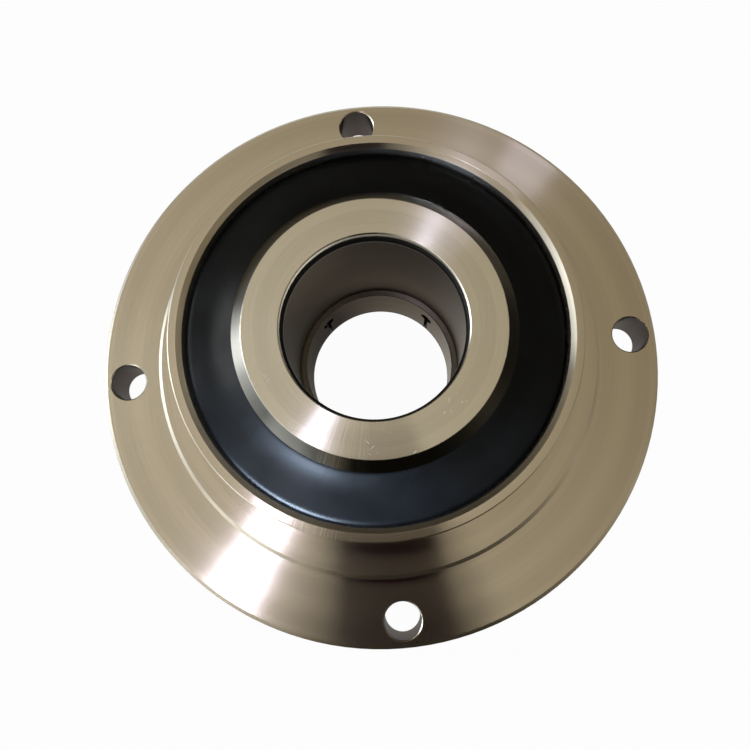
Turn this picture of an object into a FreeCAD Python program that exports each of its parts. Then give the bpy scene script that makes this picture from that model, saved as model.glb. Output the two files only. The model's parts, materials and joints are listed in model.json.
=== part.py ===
"""Cartridge mechanical seal for a 60 mm shaft, in millimetres.

+Z points to the process side, and the origin is the centre of the flange's process face.
The flange bolts to the pump, its boss and nose reach into the seal chamber, and the sleeve
passes through to the lock collar on the atmospheric side. Radii and heights are measured
from the origin, and a size called a drop is a depth below the flange's process face.
"""

import FreeCAD, Part
import os
import re
import Sketcher

SIZES = {
    # Shaft sleeve
    "shaft_radius": 30.0,
    "sleeve_wall": 6.0,
    "relief_depth": 2.2,
    "lip_depth": 1.0,
    "lip_height": 0.8,
    "band_height": 26.0,
    "shoulder_width": 4.0,
    "shoulder_height": 4.0,
    "slit_count": 4,
    "slit_width": 2.0,
    "slit_hole_radius": 2.9,
    "slit_length": 16.8,
    "slit_azimuth": 42.3,
    # Fits
    "slip_gap": 0.03,
    "running_gap": 0.06,
    "ring_gap": 0.02,
    "float_travel": 2.5,
    "float_room": 1.5,
    "edge_break": 0.4,
    # Rotor head and the turning face
    "head_hub_width": 6.94,
    "head_height": 18.0,
    "head_rim": 2.96,
    "pocket_depth": 5.0,
    "rotary_face_width": 11.0,
    "rotary_face_reach": 6.0,
    "face_ring_section": 1.5,
    "face_ring_height": 2.5,
    "head_ring_section": 1.2,
    "head_ring_height": 8.5,
    "drive_pin_count": 3,
    "drive_pin_radius": 2.0,
    "drive_pin_depth": 4.0,
    "drive_pin_head_depth": 5.0,
    # Elastomer shield
    "shield_gap": 0.6,
    "shield_skirt": 3.9,
    "shield_skirt_height": 14.0,
    "shield_inner_height": 8.4,
    "shield_dish_width": 7.0,
    "shield_dish_height": 5.6,
    "shield_dish_round": 30.0,
    "shield_outer_height": 4.0,
    "shield_round": 1.2,
    # Front collar
    "collar_wall": 10.57,
    "collar_rim_overhang": 0.6,
    "collar_bevel_width": 3.9,
    "collar_bevel_height": 3.3,
    "collar_thread_length": 6.8,
    "collar_lip_height": 2.4,
    "shaft_ring_section": 2.2,
    "shaft_ring_room": 0.4,
    # Nose, boss and flange of the gland plate
    "nose_wall": 4.5,
    "nose_lead": 9.0,
    "mouth_chamfer": 1.6,
    "chamber_drop": 4.0,
    "boss_ledge": 14.4,
    "boss_land": 7.1,
    "boss_chamfer": 1.5,
    "boss_groove_height": 3.0,
    "boss_groove_width": 4.4,
    "boss_ring_section": 1.75,
    "boss_ring_proud": 0.35,
    "bolt_land": 9.6,
    "bolt_hole_radius": 7.0,
    "bolt_count": 4,
    "flange_rim": 3.0,
    "flange_thickness": 20.0,
    "flange_chamfer": 1.6,
    # Stationary face and its carrier
    "nose_face_step": 3.5,
    "nose_face_width": 5.0,
    "nose_face_height": 4.0,
    "seat_height": 7.0,
    "seat_bore_step": 0.5,
    "seat_groove_height": 2.0,
    "seat_ring_section": 1.5,
    "seat_pin_count": 2,
    "seat_pin_radius": 1.5,
    "seat_pin_depth": 3.0,
    "carrier_floor": 5.0,
    "carrier_cup_wall": 6.4,
    "carrier_cup_height": 6.0,
    "tail_wall": 7.0,
    "tail_room": 0.5,
    "tail_groove_land": 1.96,
    "tail_ring_section": 1.5,
    # Springs and anti-rotation pins
    "spring_count": 8,
    "spring_land": 6.44,
    "spring_coil_radius": 3.0,
    "spring_wire_radius": 0.6,
    "spring_turns_count": 4.5,
    "spring_pocket_depth": 8.0,
    "spring_side_gap": 0.3,
    "stop_pin_count": 2,
    "stop_pin_radius": 2.0,
    "stop_pin_azimuth": 22.5,
    "stop_pin_reach": 1.5,
    # Back plate, throttle bush and snap ring
    "plate_thickness": 5.0,
    "plate_rim": 2.5,
    "plate_chamfer": 0.8,
    "plate_bore_gap": 2.5,
    "plate_spigot_step": 1.94,
    "plate_spigot_height": 6.5,
    "plate_groove_step": 3.0,
    "plate_ring_section": 1.0,
    "bush_wall": 7.5,
    "bush_height": 4.6,
    "snap_ring_height": 1.2,
    "snap_ring_width": 3.4,
    "snap_groove_depth": 1.4,
    "snap_ring_gap_angle": 22.0,
    # Plate screws
    "screw_count": 6,
    "screw_land": 1.0,
    "screw_radius": 3.0,
    "screw_reach": 8.0,
    "screw_head_radius": 5.0,
    "screw_head_height": 6.0,
    "screw_azimuth": 30.0,
    "screw_hole_gap": 0.3,
    "socket_radius": 2.9,
    "socket_depth": 3.0,
    # Flush ports and their plugs
    "port_count": 2,
    "port_azimuth": 67.5,
    "port_drop": 10.5,
    "port_radius": 6.6,
    "port_depth": 13.0,
    "port_drill_radius": 2.5,
    "riser_land": 0.5,
    "plug_length": 10.0,
    "plug_recess": 0.5,
    "plug_socket_radius": 3.5,
    "plug_socket_depth": 5.0,
    # Lock collar and its set screws
    "lock_wall": 15.0,
    "lock_height": 11.0,
    "lock_gap": 3.0,
    "lock_setback": 1.0,
    "lock_chamfer": 1.0,
    "lock_screw_count": 4,
    "lock_screw_radius": 4.0,
    "lock_screw_recess": 2.0,
    "lock_screw_azimuth": 45.0,
    "lock_socket_radius": 2.3,
    "lock_socket_depth": 4.0,
}

# Radii from the shaft outward
SLEEVE_RADIUS = "(shaft_radius + sleeve_wall)"
SLIP_BORE = f"({SLEEVE_RADIUS} + slip_gap)"
HUB_RADIUS = f"({SLIP_BORE} + head_hub_width)"
FACE_BORE = f"({HUB_RADIUS} + slip_gap)"
FACE_RADIUS = f"({FACE_BORE} + rotary_face_width)"
FACE_PIN_CIRCLE = f"({FACE_BORE} + rotary_face_width / 2)"
POCKET_WALL = f"({FACE_RADIUS} + 2 * face_ring_section + 2 * ring_gap)"
HEAD_RADIUS = f"({POCKET_WALL} + head_rim)"
SHIELD_RADIUS = f"({HEAD_RADIUS} + shield_skirt)"
CHAMBER_RADIUS = f"({SHIELD_RADIUS} + shield_gap)"
NOSE_RADIUS = f"({CHAMBER_RADIUS} + nose_wall)"
BOSS_RADIUS = f"({NOSE_RADIUS} + boss_ledge)"
BOLT_CIRCLE = f"({BOSS_RADIUS} + bolt_land + bolt_hole_radius)"
FLANGE_RADIUS = f"({BOLT_CIRCLE} + bolt_hole_radius + flange_rim)"
COLLAR_HUB = f"({SLIP_BORE} + collar_wall)"
COLLAR_RIM = f"({COLLAR_HUB} + collar_rim_overhang)"
LIP_BORE = "(shaft_radius + lip_depth)"
SEAT_BORE = f"({FACE_BORE} + seat_bore_step)"
SEAT_RADIUS = FACE_RADIUS
SEAT_PIN_CIRCLE = f"({SEAT_BORE} / 2 + {SEAT_RADIUS} / 2)"
NOSE_FACE_RADIUS = f"({FACE_BORE} + nose_face_step)"
CUP_BORE = f"({SEAT_RADIUS} + slip_gap)"
CUP_RADIUS = f"({CUP_BORE} + carrier_cup_wall)"
TAIL_RADIUS = f"({FACE_BORE} + tail_wall)"
TAIL_BORE = f"({TAIL_RADIUS} + running_gap)"
SPRING_CIRCLE = f"({TAIL_BORE} + spring_land)"
SPRING_POCKET_RADIUS = "(spring_coil_radius + spring_wire_radius + spring_side_gap)"
SPIGOT_RADIUS = f"({TAIL_BORE} + plate_spigot_step)"
SPIGOT_BORE = f"({SPIGOT_RADIUS} + slip_gap)"
PLATE_BORE = f"({SLEEVE_RADIUS} + plate_bore_gap)"
PLATE_GROOVE = f"({SPIGOT_RADIUS} + plate_groove_step)"
BUSH_BORE = f"({SLEEVE_RADIUS} + running_gap)"
BUSH_RADIUS = f"({BUSH_BORE} + bush_wall)"
BUSH_SEAT = f"({BUSH_RADIUS} + slip_gap)"
SNAP_GROOVE = f"({BUSH_SEAT} + snap_groove_depth)"
SCREW_CIRCLE = f"({SPRING_CIRCLE} + {SPRING_POCKET_RADIUS} + screw_land + screw_radius)"
PLATE_RADIUS = f"({SCREW_CIRCLE} + screw_head_radius + plate_rim)"
RISER_CIRCLE = f"({CHAMBER_RADIUS} - port_drill_radius - riser_land)"
LOCK_RADIUS = f"({SLIP_BORE} + lock_wall)"
LOCK_SCREW_TOP = f"({LOCK_RADIUS} - lock_screw_recess)"

# Heights from the chamber's floor to the collar's face
CARRIER_BOTTOM = "(float_travel + float_room - chamber_drop)"
SEAT_BOTTOM = f"({CARRIER_BOTTOM} + carrier_floor)"
SEAT_TOP = f"({SEAT_BOTTOM} + seat_height)"
FACE_PLANE = f"({SEAT_TOP} + nose_face_height)"
HEAD_BOTTOM = f"({FACE_PLANE} + rotary_face_reach)"
POCKET_ROOF = f"({HEAD_BOTTOM} + pocket_depth)"
HEAD_TOP = f"({HEAD_BOTTOM} + head_height)"
SHIELD_TOP = f"({HEAD_TOP} + shield_inner_height)"
SLEEVE_TOP = f"({HEAD_TOP} + collar_thread_length)"
RING_ROOF = f"({SLEEVE_TOP} + 2 * shaft_ring_section + shaft_ring_room)"
COLLAR_TOP = f"({RING_ROOF} + collar_lip_height)"
NOSE_TOP = f"({HEAD_TOP} + nose_lead)"
BOSS_GROOVE_TOP = "(boss_groove_height + boss_groove_width)"
BOSS_TOP = f"({BOSS_GROOVE_TOP} + boss_land)"

# Heights below the flange's process face
POCKET_FLOOR = "(-chamber_drop - spring_pocket_depth)"
SPIGOT_TOP = "(plate_spigot_height - flange_thickness)"
TAIL_BOTTOM = f"({SPIGOT_TOP} + float_travel + tail_room)"
TAIL_GROOVE_BOTTOM = f"({TAIL_BOTTOM} + tail_groove_land)"
TAIL_GROOVE_TOP = f"({TAIL_GROOVE_BOTTOM} + 2 * tail_ring_section + 2 * ring_gap)"
PLATE_BOTTOM = "(-flange_thickness - plate_thickness)"
BUSH_TOP = "(bush_height - flange_thickness)"
LOCK_TOP = f"({PLATE_BOTTOM} - lock_gap)"
LOCK_BOTTOM = f"({LOCK_TOP} - lock_height)"
LOCK_MIDDLE = f"({LOCK_TOP} - lock_height / 2)"
SLEEVE_BOTTOM = f"({LOCK_BOTTOM} - lock_setback)"
SLIT_TOP = f"({SLEEVE_BOTTOM} + slit_length)"
LEDGE = f"({SLEEVE_BOTTOM} + band_height)"

TOLERANCE = 0.001

doc = FreeCAD.newDocument("CartridgeSeal")
sheet = doc.addObject("Spreadsheet::Sheet", "Sizes")
nodes = []


def fill_sheet():
    """Write each size's name and its number, and give the number's cell the name as alias."""
    for row, (name, size) in enumerate(SIZES.items(), 1):
        sheet.set(f"A{row}", name)
        sheet.set(f"B{row}", str(size))
        sheet.setAlias(f"B{row}", name)
    doc.recompute()


def bound(text):
    """The expression with every size name pointed at the sheet."""
    return re.sub(r"[a-z_]+", lambda word: f"Sizes.{word[0]}" if word[0] in SIZES else word[0], text)


def number(text):
    """The expression's present value."""
    return float(sheet.evalExpression(bound(text)))


def new_body(label):
    """A body that becomes the node of that name."""
    body = doc.addObject("PartDesign::Body", label)
    body.Label = label
    nodes.append(body)
    return body


def origin_part(body, role):
    """The body's own origin plane or axis."""
    return next(part for part in body.Origin.OriginFeatures if part.Role == role)


def flat_sketch(body, name, role="XY_Plane", offset=None):
    """A sketch on one of the body's origin planes, moved along its normal."""
    sketch = body.newObject("Sketcher::SketchObject", name)
    sketch.AttachmentSupport = [(origin_part(body, role), "")]
    sketch.MapMode = "FlatFace"
    if offset:
        sketch.setExpression("AttachmentOffset.Base.z", bound(offset))
    return sketch


def radial_sketch(body, name, radius, azimuth="0"):
    """A sketch that faces outward at that radius and azimuth; its x is tangential, its y is height."""
    sketch = flat_sketch(body, name, "YZ_Plane")
    spin = FreeCAD.Rotation(FreeCAD.Vector(0, 1, 0), number(azimuth))
    sketch.AttachmentOffset = FreeCAD.Placement(FreeCAD.Vector(0, 0, 0), spin)
    sketch.setExpression("AttachmentOffset.Base.x", bound(f"{radius} * sin({azimuth})"))
    sketch.setExpression("AttachmentOffset.Base.z", bound(f"{radius} * cos({azimuth})"))
    return sketch


def pin_point(sketch, shape, point, x, y):
    """Hold a point of the sketch at the expressions x and y."""
    for kind, axis_line, text in (("DistanceX", -2, x), ("DistanceY", -1, y)):
        if text == "0":
            sketch.addConstraint(Sketcher.Constraint("PointOnObject", shape, point, axis_line))
        else:
            held = Sketcher.Constraint(kind, -1, 1, shape, point, number(text))
            sketch.setExpression(f"Constraints[{sketch.addConstraint(held)}]", bound(text))


def draw_outline(sketch, points):
    """A closed outline of straight lines through points given as pairs of expressions."""
    corners = [FreeCAD.Vector(number(x), number(y), 0) for x, y in points]
    lines = [sketch.addGeometry(Part.LineSegment(start, end), False)
             for start, end in zip(corners, corners[1:] + corners[:1])]
    for line, following in zip(lines, lines[1:] + lines[:1]):
        sketch.addConstraint(Sketcher.Constraint("Coincident", line, 2, following, 1))
    for line, (x, y) in zip(lines, points):
        pin_point(sketch, line, 1, x, y)


def draw_circle(sketch, x, y, radius):
    """A circle whose centre and radius follow the expressions."""
    centre = FreeCAD.Vector(number(x), number(y), 0)
    circle = sketch.addGeometry(Part.Circle(centre, FreeCAD.Vector(0, 0, 1), number(radius)), False)
    pin_point(sketch, circle, 3, x, y)
    held = sketch.addConstraint(Sketcher.Constraint("Radius", circle, number(radius)))
    sketch.setExpression(f"Constraints[{held}]", bound(radius))


def draw_hexagon(sketch, x, y, radius):
    """A hexagon of that corner radius."""
    draw_outline(sketch, [(f"{x} + {radius} * cos({angle})", f"{y} + {radius} * sin({angle})")
                          for angle in range(0, 360, 60)])


def turned(body, name, points, centre=None):
    """Turn an outline of radius and height pairs about Z, or about a line at x = centre."""
    sketch = flat_sketch(body, name + "Outline", "XZ_Plane")
    draw_outline(sketch, points)
    feature = body.newObject("PartDesign::Revolution", name)
    feature.Profile = sketch
    if centre:
        ends = [FreeCAD.Vector(number(centre), height, 0) for height in (0, 1)]
        line = sketch.addGeometry(Part.LineSegment(*ends), True)
        sketch.addConstraint(Sketcher.Constraint("Vertical", line))
        pin_point(sketch, line, 1, centre, "0")
        feature.ReferenceAxis = (sketch, ["Axis0"])
    else:
        feature.ReferenceAxis = (sketch, ["V_Axis"])
    feature.Angle = 360
    doc.recompute()
    return feature


def padded(body, name, sketch, length):
    """Extrude a sketch along its normal."""
    feature = body.newObject("PartDesign::Pad", name)
    feature.Profile = sketch
    feature.setExpression("Length", bound(length))
    doc.recompute()
    return feature


def cut(body, name, sketch, depth, upward=False):
    """Cut a sketch into the body, against its normal or, upward, along it."""
    before = body.Shape.Volume
    feature = body.newObject("PartDesign::Pocket", name)
    feature.Profile = sketch
    feature.setExpression("Length", bound(depth))
    feature.Reversed = upward
    doc.recompute()
    if body.Shape.Volume >= before:
        raise RuntimeError(f"{body.Label}: {name} cuts nothing")
    return feature


def around(body, name, features, count):
    """Repeat features evenly about Z."""
    pattern = body.newObject("PartDesign::PolarPattern", name)
    pattern.Originals = features
    pattern.Axis = (origin_part(body, "Z_Axis"), [""])
    pattern.Angle = 360
    pattern.setExpression("Occurrences", bound(count))
    body.Tip = pattern
    doc.recompute()
    return pattern


def holes(body, name, circle_radius, radius, top, depth, count, azimuth="0", upward=False):
    """Round holes on a circle about Z."""
    sketch = flat_sketch(body, name + "Circle", offset=top)
    draw_circle(sketch, f"{circle_radius} * cos({azimuth})", f"{circle_radius} * sin({azimuth})", radius)
    feature = cut(body, name, sketch, depth, upward)
    around(body, name + "Ring", [feature], count)


def pins(label, circle_radius, radius, bottom, length, count, azimuth="0"):
    """Round pins on a circle about Z, as separate solids of one node."""
    body = new_body(label)
    sketch = flat_sketch(body, label + "_circle", offset=bottom)
    draw_circle(sketch, f"{circle_radius} * cos({azimuth})", f"{circle_radius} * sin({azimuth})", radius)
    around(body, label + "_ring", [padded(body, label + "_pad", sketch, length)], count)


def o_ring(label, inner_radius, section, middle):
    """A torus that rests on a wall of the inner radius; section is its cord's radius."""
    ring = doc.addObject("Part::Torus", label)
    ring.Label = label
    ring.setExpression("Radius1", bound(f"{inner_radius} + {section}"))
    ring.setExpression("Radius2", bound(section))
    ring.setExpression("Placement.Base.z", bound(middle))
    nodes.append(ring)


def round_edge(body, name, radius, height, size):
    """Round the circular edge at that radius and height."""
    tip = body.Tip
    names = [f"Edge{index}" for index, edge in enumerate(tip.Shape.Edges, 1)
             if isinstance(edge.Curve, Part.Circle)
             and abs(edge.Curve.Radius - number(radius)) < TOLERANCE
             and abs(edge.Curve.Center.z - number(height)) < TOLERANCE]
    fillet = body.newObject("PartDesign::Fillet", name)
    fillet.Base = (tip, names)
    fillet.setExpression("Radius", bound(size))
    doc.recompute()


def turn_body(body, azimuth):
    """Turn a finished body about Z."""
    body.Placement = FreeCAD.Placement(FreeCAD.Vector(0, 0, 0),
                                       FreeCAD.Rotation(FreeCAD.Vector(0, 0, 1), number(azimuth)))


def make_gland_plate():
    """Flange, locating boss and nose in one turned piece, bored for the seal's moving parts."""
    body = new_body("gland_plate")
    groove_bottom = f"({BOSS_RADIUS} + boss_ring_proud - 2 * boss_ring_section)"
    turned(body, "GlandTurned", [
        (TAIL_BORE, SPIGOT_TOP + " + slip_gap"),
        (SPIGOT_BORE, SPIGOT_TOP + " + slip_gap"),
        (SPIGOT_BORE, "-flange_thickness"),
        (FLANGE_RADIUS + " - edge_break", "-flange_thickness"),
        (FLANGE_RADIUS, "-flange_thickness + edge_break"),
        (FLANGE_RADIUS, "-flange_chamfer"),
        (FLANGE_RADIUS + " - flange_chamfer", "0"),
        (BOSS_RADIUS, "0"),
        (BOSS_RADIUS, "boss_groove_height"),
        (groove_bottom, "boss_groove_height"),
        (groove_bottom, BOSS_GROOVE_TOP),
        (BOSS_RADIUS, BOSS_GROOVE_TOP),
        (BOSS_RADIUS, BOSS_TOP + " - boss_chamfer"),
        (BOSS_RADIUS + " - boss_chamfer", BOSS_TOP),
        (NOSE_RADIUS, BOSS_TOP),
        (NOSE_RADIUS, NOSE_TOP + " - edge_break"),
        (NOSE_RADIUS + " - edge_break", NOSE_TOP),
        (CHAMBER_RADIUS + " + mouth_chamfer", NOSE_TOP),
        (CHAMBER_RADIUS, NOSE_TOP + " - mouth_chamfer"),
        (CHAMBER_RADIUS, "-chamber_drop"),
        (TAIL_BORE, "-chamber_drop"),
    ])
    holes(body, "BoltHoles", BOLT_CIRCLE, "bolt_hole_radius", "0", "flange_thickness", "bolt_count")
    holes(body, "SpringPockets", SPRING_CIRCLE, SPRING_POCKET_RADIUS, "-chamber_drop",
          "spring_pocket_depth", "spring_count")
    holes(body, "StopPinHoles", SPRING_CIRCLE, "stop_pin_radius + ring_gap", "-chamber_drop",
          "spring_pocket_depth", "stop_pin_count", "stop_pin_azimuth")
    holes(body, "ScrewHoles", SCREW_CIRCLE, "screw_radius + ring_gap", "-flange_thickness",
          "screw_reach + ring_gap", "screw_count", "screw_azimuth", upward=True)
    make_ports(body)
    break_hole_edges(body)


def make_ports(body):
    """Tapped ports in the flange's rim, each drilled through to a riser in the chamber's floor."""
    mouth = radial_sketch(body, "PortMouth", FLANGE_RADIUS, "port_azimuth")
    draw_circle(mouth, "0", "-port_drop", "port_radius")
    thread = cut(body, "PortThread", mouth, "port_depth")
    way = radial_sketch(body, "PortWay", FLANGE_RADIUS, "port_azimuth")
    draw_circle(way, "0", "-port_drop", "port_drill_radius")
    drill = cut(body, "PortDrill", way, f"{FLANGE_RADIUS} - {RISER_CIRCLE}")
    floor = flat_sketch(body, "PortFloor", offset="-chamber_drop")
    draw_circle(floor, f"{RISER_CIRCLE} * cos(port_azimuth)", f"{RISER_CIRCLE} * sin(port_azimuth)",
                "port_drill_radius")
    riser = cut(body, "PortRiser", floor, "port_drop - chamber_drop")
    around(body, "PortRing", [thread, drill, riser], "port_count")


def break_hole_edges(body):
    """Small chamfers on both ends of the bolt holes."""
    tip = body.Tip
    names = [f"Edge{index}" for index, edge in enumerate(tip.Shape.Edges, 1)
             if isinstance(edge.Curve, Part.Circle)
             and abs(edge.Curve.Radius - number("bolt_hole_radius")) < TOLERANCE
             and abs(abs(edge.Curve.Axis.z) - 1) < TOLERANCE
             and abs(edge.Curve.Center.z * (edge.Curve.Center.z + number("flange_thickness"))) < TOLERANCE]
    chamfer = body.newObject("PartDesign::Chamfer", "HoleEdges")
    chamfer.Base = (tip, names)
    chamfer.setExpression("Size", bound("edge_break"))
    doc.recompute()


def make_back_plate():
    """Cover on the atmospheric side, with the throttle bush's seat in its spigot."""
    body = new_body("back_plate")
    groove_reach = f"({PLATE_GROOVE} + 2 * plate_ring_section + 2 * ring_gap)"
    groove_floor = "(-flange_thickness - 2 * plate_ring_section)"
    snap_bottom = f"({BUSH_TOP} + ring_gap)"
    snap_top = f"({BUSH_TOP} + 3 * ring_gap + snap_ring_height)"
    turned(body, "PlateTurned", [
        (PLATE_BORE, PLATE_BOTTOM),
        (PLATE_RADIUS + " - plate_chamfer", PLATE_BOTTOM),
        (PLATE_RADIUS, PLATE_BOTTOM + " + plate_chamfer"),
        (PLATE_RADIUS, "-flange_thickness"),
        (groove_reach, "-flange_thickness"),
        (groove_reach, groove_floor),
        (PLATE_GROOVE, groove_floor),
        (PLATE_GROOVE, "-flange_thickness"),
        (SPIGOT_RADIUS, "-flange_thickness"),
        (SPIGOT_RADIUS, SPIGOT_TOP),
        (BUSH_SEAT, SPIGOT_TOP),
        (BUSH_SEAT, snap_top),
        (SNAP_GROOVE, snap_top),
        (SNAP_GROOVE, snap_bottom),
        (BUSH_SEAT, snap_bottom),
        (BUSH_SEAT, "-flange_thickness"),
        (PLATE_BORE, "-flange_thickness"),
    ])
    holes(body, "ScrewHoles", SCREW_CIRCLE, "screw_radius + screw_hole_gap",
          "-flange_thickness", "plate_thickness", "screw_count", "screw_azimuth")


def make_throttle_bush():
    """Close fitting bush round the sleeve."""
    turned(new_body("throttle_bush"), "BushTurned", [
        (BUSH_BORE, "-flange_thickness"),
        (BUSH_RADIUS, "-flange_thickness"),
        (BUSH_RADIUS, BUSH_TOP),
        (BUSH_BORE, BUSH_TOP),
    ])


def make_snap_ring():
    """Open ring in the back plate's groove, over the throttle bush."""
    bottom = f"({BUSH_TOP} + 2 * ring_gap)"
    outside = f"({SNAP_GROOVE} - ring_gap)"
    ring = turned(new_body("bush_snap_ring"), "SnapTurned", [
        (outside + " - snap_ring_width", bottom),
        (outside, bottom),
        (outside, bottom + " + snap_ring_height"),
        (outside + " - snap_ring_width", bottom + " + snap_ring_height"),
    ])
    ring.setExpression("Angle", bound("360 - snap_ring_gap_angle"))


def make_plate_screws():
    """Socket head cap screws that hold the back plate."""
    body = new_body("plate_screws")
    top = "(screw_reach - flange_thickness)"
    head_bottom = f"({PLATE_BOTTOM} - screw_head_height)"
    axis = SCREW_CIRCLE
    shank = turned(body, "ScrewTurned", [
        (axis, head_bottom),
        (axis + " + screw_head_radius - edge_break", head_bottom),
        (axis + " + screw_head_radius", head_bottom + " + edge_break"),
        (axis + " + screw_head_radius", PLATE_BOTTOM),
        (axis + " + screw_radius", PLATE_BOTTOM),
        (axis + " + screw_radius", top + " - edge_break"),
        (axis + " + screw_radius - edge_break", top),
        (axis, top),
    ], centre=axis)
    socket = flat_sketch(body, "SocketOutline", offset=head_bottom)
    draw_hexagon(socket, axis, "0", "socket_radius")
    key = cut(body, "Socket", socket, "socket_depth", upward=True)
    around(body, "ScrewRing", [shank, key], "screw_count")
    turn_body(body, "screw_azimuth")


def make_port_plugs():
    """Socket pipe plugs in the flange's rim."""
    body = new_body("port_plugs")
    face = f"({FLANGE_RADIUS} - plug_recess)"
    inner = radial_sketch(body, "PlugOutline", f"({face} - plug_length)")
    draw_circle(inner, "0", "-port_drop", "port_radius - slip_gap")
    plug = padded(body, "Plug", inner, "plug_length")
    socket = radial_sketch(body, "PlugSocketOutline", face)
    draw_hexagon(socket, "0", "-port_drop", "plug_socket_radius")
    key = cut(body, "PlugSocket", socket, "plug_socket_depth")
    around(body, "PlugRing", [plug, key], "port_count")
    turn_body(body, "port_azimuth")


def make_springs():
    """Coil springs between the pockets' floors and the carrier."""
    length = f"({CARRIER_BOTTOM} - {POCKET_FLOOR} - 2 * spring_wire_radius - 2 * ring_gap)"
    line = doc.addObject("Part::Helix", "SpringLine")
    line.setExpression("Radius", bound("spring_coil_radius"))
    line.setExpression("Height", bound(length))
    line.setExpression("Pitch", bound(length + " / spring_turns_count"))
    wire = doc.addObject("Part::Circle", "SpringWire")
    wire.setExpression("Radius", bound("spring_wire_radius"))
    upright = FreeCAD.Rotation(FreeCAD.Vector(1, 0, 0), 90)
    wire.Placement = FreeCAD.Placement(FreeCAD.Vector(0, 0, 0), upright)
    wire.setExpression("Placement.Base.x", bound("spring_coil_radius"))
    coil = doc.addObject("Part::Sweep", "SpringCoil")
    coil.Sections = [wire]
    coil.Spine = (line, [])
    coil.Solid = True
    coil.Frenet = True
    doc.recompute()
    bottom = number(POCKET_FLOOR + " + spring_wire_radius + ring_gap")
    place = FreeCAD.Vector(number(SPRING_CIRCLE), 0, bottom)
    count = int(number("spring_count"))
    coils = []
    for index in range(count):
        turn = FreeCAD.Rotation(FreeCAD.Vector(0, 0, 1), 360 * index / count)
        copy = coil.Shape.copy()
        copy.Placement = FreeCAD.Placement(turn.multVec(place), turn)
        coils.append(copy)
    group = doc.addObject("Part::Feature", "springs")
    group.Label = "springs"
    group.Shape = Part.makeCompound(coils)
    nodes.append(group)


def make_face_carrier():
    """Sprung cup for the stationary face; its tail slides in the gland plate's bore."""
    body = new_body("face_carrier")
    cup_top = f"({SEAT_BOTTOM} + carrier_cup_height)"
    groove_bottom = f"({SEAT_BOTTOM} + seat_groove_height)"
    groove_top = f"({groove_bottom} + 2 * seat_ring_section + 2 * ring_gap)"
    groove_reach = f"({SEAT_RADIUS} + 2 * seat_ring_section + 2 * ring_gap)"
    tail_floor = f"({TAIL_BORE} - 2 * tail_ring_section - 2 * ring_gap)"
    turned(body, "CarrierTurned", [
        (FACE_BORE, TAIL_BOTTOM),
        (TAIL_RADIUS + " - edge_break", TAIL_BOTTOM),
        (TAIL_RADIUS, TAIL_BOTTOM + " + edge_break"),
        (TAIL_RADIUS, TAIL_GROOVE_BOTTOM),
        (tail_floor, TAIL_GROOVE_BOTTOM),
        (tail_floor, TAIL_GROOVE_TOP),
        (TAIL_RADIUS, TAIL_GROOVE_TOP),
        (TAIL_RADIUS, CARRIER_BOTTOM),
        (CUP_RADIUS, CARRIER_BOTTOM),
        (CUP_RADIUS, cup_top),
        (CUP_BORE, cup_top),
        (CUP_BORE, groove_top),
        (groove_reach, groove_top),
        (groove_reach, groove_bottom),
        (CUP_BORE, groove_bottom),
        (CUP_BORE, SEAT_BOTTOM),
        (FACE_BORE, SEAT_BOTTOM),
    ])
    holes(body, "StopPinSlots", SPRING_CIRCLE, "stop_pin_radius + running_gap", CARRIER_BOTTOM,
          "stop_pin_reach + float_travel + slip_gap", "stop_pin_count", "stop_pin_azimuth", upward=True)
    holes(body, "SeatPinHoles", SEAT_PIN_CIRCLE, "seat_pin_radius + ring_gap", SEAT_BOTTOM,
          "seat_pin_depth + ring_gap", "seat_pin_count")


def make_stationary_face():
    """Hard face with a narrow raised nose, seated in the carrier."""
    body = new_body("stationary_face")
    turned(body, "SeatTurned", [
        (SEAT_BORE, SEAT_BOTTOM),
        (SEAT_RADIUS, SEAT_BOTTOM),
        (SEAT_RADIUS, SEAT_TOP),
        (NOSE_FACE_RADIUS + " + nose_face_width", SEAT_TOP),
        (NOSE_FACE_RADIUS + " + nose_face_width", FACE_PLANE),
        (NOSE_FACE_RADIUS, FACE_PLANE),
        (NOSE_FACE_RADIUS, SEAT_TOP),
        (SEAT_BORE, SEAT_TOP),
    ])
    holes(body, "SeatPinHoles", SEAT_PIN_CIRCLE, "seat_pin_radius + ring_gap", SEAT_BOTTOM,
          "seat_pin_depth + ring_gap", "seat_pin_count", upward=True)


def make_rotary_face():
    """Hard ring that turns with the rotor head."""
    body = new_body("rotary_face")
    turned(body, "RotaryTurned", [
        (FACE_BORE, FACE_PLANE),
        (FACE_RADIUS, FACE_PLANE),
        (FACE_RADIUS, POCKET_ROOF),
        (FACE_BORE, POCKET_ROOF),
    ])
    holes(body, "DrivePinHoles", FACE_PIN_CIRCLE, "drive_pin_radius + ring_gap", POCKET_ROOF,
          "drive_pin_depth + ring_gap", "drive_pin_count")


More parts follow.
